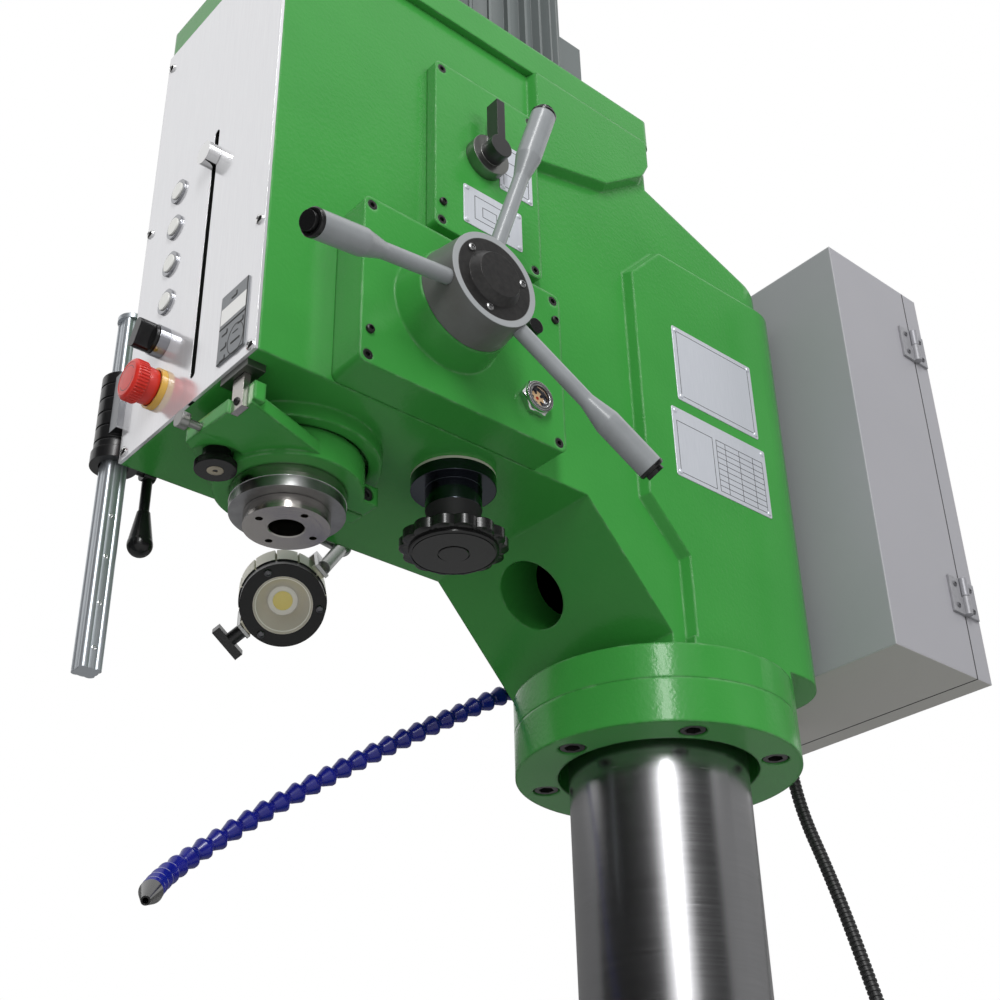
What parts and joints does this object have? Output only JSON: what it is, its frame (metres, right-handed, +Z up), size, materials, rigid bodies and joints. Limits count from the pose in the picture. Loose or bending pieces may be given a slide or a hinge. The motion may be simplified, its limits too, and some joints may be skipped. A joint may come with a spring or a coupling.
{
  "type": "pillar drill",
  "caption": "Floor-standing geared pillar drill with round column, feed levers, panel with switches, lamp, coolant hose, rear cabinet and a lifting, swinging table.",
  "frame": {"origin": "on the floor under the column's axis", "axes": "+Z up, -Y towards the operator, +X to the operator's right, the side of the feed levers"},
  "size_m": [0.56, 1.0066, 2.27],
  "materials": {
    "green_casting": "gloss enamel",
    "column_steel": "polished round",
    "ground_steel": "ground and turned",
    "gear_steel": "cut and oiled",
    "panel_steel": "brushed and bright",
    "cast_table": "ground face",
    "motor_grey": "satin enamel",
    "black_plastic": "moulded",
    "black_steel": "black oxide",
    "bright_metal": "bright plated",
    "hub_grey": "satin enamel",
    "lever_grey": "satin enamel",
    "stop_red": "moulded",
    "button_white": "moulded",
    "readout_black": "moulded",
    "lamp_cream": "satin enamel",
    "cabinet_grey": "powder coat",
    "zinc_hinge": "zinc cast",
    "pump_grey": "satin enamel",
    "conduit_black": "ribbed",
    "hose_blue": "moulded segments",
    "bar_aluminium": "extruded",
    "brass": "turned"
  },
  "bodies": {
    "frame": {"base_plate": "green_casting", "column_foot": "green_casting", "column_tube": "column_steel", "clamp_ring": "green_casting", "head_casting": "green_casting", "top_cover": "green_casting", "motor_body": "motor_grey", "drive_bearing": "gear_steel", "front_panel": "panel_steel", "control_bezels": "bright_metal", "readout": "readout_black", "feed_box": "green_casting", "gear_plate": "green_casting", "socket_screws": "black_steel", "oil_fittings": "bright_metal", "fine_feed_bush": "black_plastic", "lamp_bracket": "bright_metal", "guard_sleeve": "black_plastic", "cabinet_box": "cabinet_grey", "cabinet_hinges": "zinc_hinge", "coolant_pump": "pump_grey", "conduit": "conduit_black", "coolant_hose": "hose_blue", "hose_bracket": "black_steel", "hose_nozzle": "hose_blue"},
    "quill": {"quill": "ground_steel", "quill_bearings": "ground_steel", "quill_collar": "green_casting", "collar_screws": "black_steel", "depth_bar": "ground_steel"},
    "spindle": {"spindle": "ground_steel"},
    "spindle_gear": {"spindle_gear": "gear_steel"},
    "lay_shaft": {"lay_shaft": "gear_steel"},
    "motor_shaft": {"motor_shaft": "gear_steel"},
    "depth_knob": {"depth_knob": "black_plastic"},
    "feed_hub": {"feed_shaft": "gear_steel", "feed_hub": "hub_grey", "hub_cap": "black_plastic", "feed_levers": "lever_grey"},
    "fine_feed_knob": {"fine_feed_knob": "black_plastic"},
    "mode_selector": {"mode_selector": "black_plastic"},
    "estop_head": {"estop_head": "stop_red"},
    "gear_selector": {"gear_selector": "black_plastic"},
    "depth_stop": {"depth_stop": "bright_metal"},
    "cabinet_door": {"cabinet_door": "cabinet_grey"},
    "lamp_arm": {"lamp_arm": "bright_metal"},
    "lamp_head": {"lamp_head": "lamp_cream"},
    "guard_bar": {"guard_bar": "bar_aluminium"},
    "guard_lever": {"guard_lever": "black_plastic"},
    "table_rack": {"table_rack": "gear_steel"},
    "table_arm": {"table_arm": "green_casting"},
    "table_top": {"table_top": "cast_table"},
    "table_crank": {"table_crank": "black_steel"},
    "lever_button_1": {"lever_button_1": "black_plastic"},
    "lever_button_2": {"lever_button_2": "black_plastic"},
    "lever_button_3": {"lever_button_3": "black_plastic"},
    "push_button_1": {"push_button_1": "button_white"},
    "push_button_2": {"push_button_2": "button_white"},
    "push_button_3": {"push_button_3": "button_white"},
    "push_button_4": {"push_button_4": "button_white"}
  },
  "joints": [
    {"name": "quill_feed", "type": "slide", "parent": "frame", "child": "quill", "axis": [0, 0, -1], "range_m": [0, 0.16], "stiffness_N_per_m": 800, "springref_m": -0.75},
    {"name": "spindle_turn", "type": "hinge", "parent": "quill", "child": "spindle", "pos_m": [0, -0.452, 1.4], "axis": [0, 0, 1], "continuous": true},
    {"name": "spindle_gear_turn", "type": "hinge", "parent": "frame", "child": "spindle_gear", "pos_m": [0, -0.452, 1.76], "axis": [0, 0, 1], "continuous": true},
    {"name": "lay_shaft_turn", "type": "hinge", "parent": "frame", "child": "lay_shaft", "pos_m": [0, -0.322, 1.76], "axis": [0, 0, 1], "continuous": true},
    {"name": "motor_shaft_turn", "type": "hinge", "parent": "frame", "child": "motor_shaft", "pos_m": [0, -0.222, 1.8], "axis": [0, 0, 1], "continuous": true},
    {"name": "feed_turn", "type": "hinge", "parent": "frame", "child": "feed_hub", "pos_m": [0.2, -0.3955, 1.493], "axis": [1, 0, 0], "range_deg": [0, 509.3]},
    {"name": "depth_knob_turn", "type": "hinge", "parent": "quill", "child": "depth_knob", "pos_m": [0.003, -0.528, 1.36], "axis": [0, 0, 1], "continuous": true},
    {"name": "lever_button_1_press", "type": "slide", "parent": "feed_hub", "child": "lever_button_1", "axis": [-0.1908, -0.2141, -0.958], "range_m": [0, 0.004], "stiffness_N_per_m": 500, "springref_m": -0.002},
    {"name": "lever_button_2_press", "type": "slide", "parent": "feed_hub", "child": "lever_button_2", "axis": [-0.1908, 0.9367, 0.2935], "range_m": [0, 0.004], "stiffness_N_per_m": 500, "springref_m": -0.002},
    {"name": "lever_button_3_press", "type": "slide", "parent": "feed_hub", "child": "lever_button_3", "axis": [-0.1908, -0.7226, 0.6644], "range_m": [0, 0.004], "stiffness_N_per_m": 500, "springref_m": -0.002},
    {"name": "push_button_1_press", "type": "slide", "parent": "frame", "child": "push_button_1", "axis": [0, 1, 0], "range_m": [0, 0.003], "stiffness_N_per_m": 800, "springref_m": -0.001},
    {"name": "push_button_2_press", "type": "slide", "parent": "frame", "child": "push_button_2", "axis": [0, 1, 0], "range_m": [0, 0.003], "stiffness_N_per_m": 800, "springref_m": -0.001},
    {"name": "push_button_3_press", "type": "slide", "parent": "frame", "child": "push_button_3", "axis": [0, 1, 0], "range_m": [0, 0.003], "stiffness_N_per_m": 800, "springref_m": -0.001},
    {"name": "push_button_4_press", "type": "slide", "parent": "frame", "child": "push_button_4", "axis": [0, 1, 0], "range_m": [0, 0.003], "stiffness_N_per_m": 800, "springref_m": -0.001},
    {"name": "estop_press", "type": "slide", "parent": "frame", "child": "estop_head", "axis": [0, 1, 0], "range_m": [0, 0.005], "stiffness_N_per_m": 1500, "springref_m": -0.002},
    {"name": "mode_turn", "type": "hinge", "parent": "frame", "child": "mode_selector", "pos_m": [-0.0515, -0.565, 1.502], "axis": [0, 1, 0], "range_deg": [-45, 45]},
    {"name": "gear_select", "type": "hinge", "parent": "frame", "child": "gear_selector", "pos_m": [0.13, -0.327, 1.737], "axis": [1, 0, 0], "range_deg": [-60, 60]},
    {"name": "depth_stop_slide", "type": "slide", "parent": "frame", "child": "depth_stop", "axis": [0, 0, 1], "range_m": [-0.245, 0.028]},
    {"name": "fine_feed_turn", "type": "hinge", "parent": "frame", "child": "fine_feed_knob", "pos_m": [0.0573, -0.3103, 1.35], "axis": [0, 0, 1], "continuous": true},
    {"name": "cabinet_door_swing", "type": "hinge", "parent": "frame", "child": "cabinet_door", "pos_m": [0.206, 0.2923, 1.58], "axis": [0, 0, -1], "range_deg": [0, 110]},
    {"name": "lamp_arm_swing", "type": "hinge", "parent": "frame", "child": "lamp_arm", "pos_m": [-0.15, -0.385, 1.44], "axis": [1, 0, 0], "range_deg": [-35, 10]},
    {"name": "lamp_head_tilt", "type": "hinge", "parent": "lamp_arm", "child": "lamp_head", "pos_m": [-0.16546, -0.34795, 1.35398], "axis": [0.7596, 0.4043, 0.5094], "range_deg": [-20, 20]},
    {"name": "guard_bar_slide", "type": "slide", "parent": "frame", "child": "guard_bar", "axis": [0, 0, 1], "range_m": [-0.069, 0.18]},
    {"name": "guard_lever_swing", "type": "hinge", "parent": "frame", "child": "guard_lever", "pos_m": [-0.141, -0.509, 1.421], "axis": [0, 1, 0], "range_deg": [0, 90]},
    {"name": "table_swing", "type": "hinge", "parent": "frame", "child": "table_rack", "pos_m": [0, 0, 0.5], "axis": [0, 0, 1], "range_deg": [-60, 60]},
    {"name": "table_lift", "type": "slide", "parent": "table_rack", "child": "table_arm", "axis": [0, 0, 1], "range_m": [-0.21, 0.25]},
    {"name": "table_turn", "type": "hinge", "parent": "table_arm", "child": "table_top", "pos_m": [0, -0.452, 0.64], "axis": [0, 0, 1], "continuous": true},
    {"name": "table_crank_turn", "type": "hinge", "parent": "table_arm", "child": "table_crank", "pos_m": [0.1283, -0.15, 0.545], "axis": [0, -1, 0], "range_deg": [-501.5, 597]}
  ],
  "couplings": [
    {"joint": "feed_turn", "follows": "quill_feed", "rad_per_m": 55.556},
    {"joint": "spindle_gear_turn", "follows": "spindle_turn", "ratio": 1},
    {"joint": "lay_shaft_turn", "follows": "spindle_turn", "ratio": -1.8261},
    {"joint": "motor_shaft_turn", "follows": "spindle_turn", "ratio": 3.8804},
    {"joint": "table_crank_turn", "follows": "table_lift", "rad_per_m": 41.667}
  ]
}
